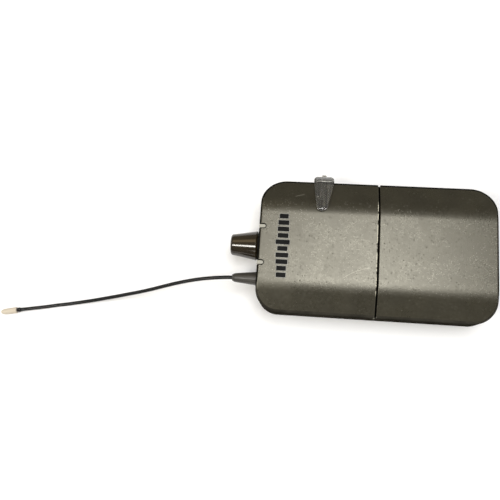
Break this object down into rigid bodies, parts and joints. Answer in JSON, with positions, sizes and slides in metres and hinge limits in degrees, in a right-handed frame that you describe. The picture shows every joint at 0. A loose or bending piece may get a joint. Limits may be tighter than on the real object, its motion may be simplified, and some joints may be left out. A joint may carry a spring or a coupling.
{
  "type": "wireless bodypack receiver",
  "caption": "Belt-worn wireless audio bodypack with a tapered volume knob, a flexible whip antenna, a hinged battery door and a sprung belt clip.",
  "frame": {"origin": "middle of the belt clip's flat outer face, the face that the pack lies on, under the middle of the casing", "axes": "+X along the casing from the knob and antenna end towards the battery door's hinge, +Y across the casing, +Z from the back to the front cover"},
  "size_m": [0.2386, 0.0757, 0.0285],
  "materials": {
    "casing": "fine-grained moulded ABS, dark olive grey, satin",
    "gloss_black": "polished black",
    "boot_rubber": "satin moulded rubber",
    "whip": "smooth black sleeve",
    "cream_cap": "aged cream plastic",
    "light_pipe": "milky light guide",
    "clear": "clear moulded plastic",
    "display": "display cover",
    "infrared": "dark red filter",
    "dark_plastic": "moulded black nylon",
    "grey_plastic": "moulded grey",
    "steel": "plated spring steel",
    "brass": "turned brass",
    "board": "solder-masked glass epoxy",
    "cell": "plain printed shrink sleeve",
    "label": "plain printed film"
  },
  "bodies": {
    "casing": {"rear_shell": "casing", "front_cover": "casing", "name_badge": "gloss_black", "antenna_boot": "boot_rubber", "antenna_whip": "whip", "antenna_collar": "gloss_black", "antenna_tip_cap": "cream_cap", "power_light_pipe": "light_pipe", "signal_light_pipe": "light_pipe", "power_led": "light_pipe", "signal_led": "light_pipe", "clear_cable_clip": "clear", "display_glass": "display", "infrared_window": "infrared", "pot_body": "dark_plastic", "pot_nut": "steel", "audio_jack": "dark_plastic", "radio_chip": "dark_plastic", "audio_chip": "dark_plastic", "control_deck": "dark_plastic", "battery_tray": "dark_plastic", "scan_switch": "dark_plastic", "set_switch": "dark_plastic", "display_module": "grey_plastic", "shield_can": "steel", "door_hinge_pin": "steel", "case_screw_1": "steel", "case_screw_2": "steel", "case_screw_3": "steel", "case_screw_4": "steel", "contact_bridge": "steel", "positive_contact": "steel", "negative_spring": "steel", "bridge_spring": "steel", "clip_pin": "steel", "clip_spring": "steel", "antenna_terminal": "brass", "main_board": "board", "battery_cell_1": "cell", "battery_cell_2": "cell", "rear_label": "label"},
    "volume": {"volume_knob": "gloss_black", "pot_shaft": "brass"},
    "door": {"battery_door": "casing"},
    "latch_a": {"latch_button_a": "casing"},
    "latch_b": {"latch_button_b": "casing"},
    "clip": {"belt_clip": "steel"},
    "scan_key": {"scan_button": "grey_plastic"},
    "set_key": {"set_button": "grey_plastic"}
  },
  "joints": [
    {"name": "volume_turn", "type": "hinge", "parent": "casing", "child": "volume", "pos_m": [-0.0547, 0, 0.017], "axis": [-1, 0, 0], "range_deg": [0, 300]},
    {"name": "door_hinge", "type": "hinge", "parent": "casing", "child": "door", "pos_m": [0.0514, 0, 0.0095], "axis": [0, 1, 0], "range_deg": [0, 95]},
    {"name": "clip_hinge", "type": "hinge", "parent": "casing", "child": "clip", "pos_m": [-0.027, 0, 0.0037], "axis": [0, 1, 0], "range_deg": [0, 25], "stiffness_Nm_per_rad": 0.6, "springref_deg": -20.05},
    {"name": "latch_a_press", "type": "slide", "parent": "casing", "child": "latch_a", "axis": [0, 1, 0], "range_m": [0, 0.0006], "stiffness_N_per_m": 800, "springref_m": -0.0005},
    {"name": "latch_b_press", "type": "slide", "parent": "casing", "child": "latch_b", "axis": [0, -1, 0], "range_m": [0, 0.0006], "stiffness_N_per_m": 800, "springref_m": -0.0005},
    {"name": "scan_press", "type": "slide", "parent": "casing", "child": "scan_key", "axis": [0, 0, -1], "range_m": [0, 0.0004], "stiffness_N_per_m": 800, "springref_m": -0.0005},
    {"name": "set_press", "type": "slide", "parent": "casing", "child": "set_key", "axis": [0, 0, -1], "range_m": [0, 0.0004], "stiffness_N_per_m": 800, "springref_m": -0.0005}
  ]
}
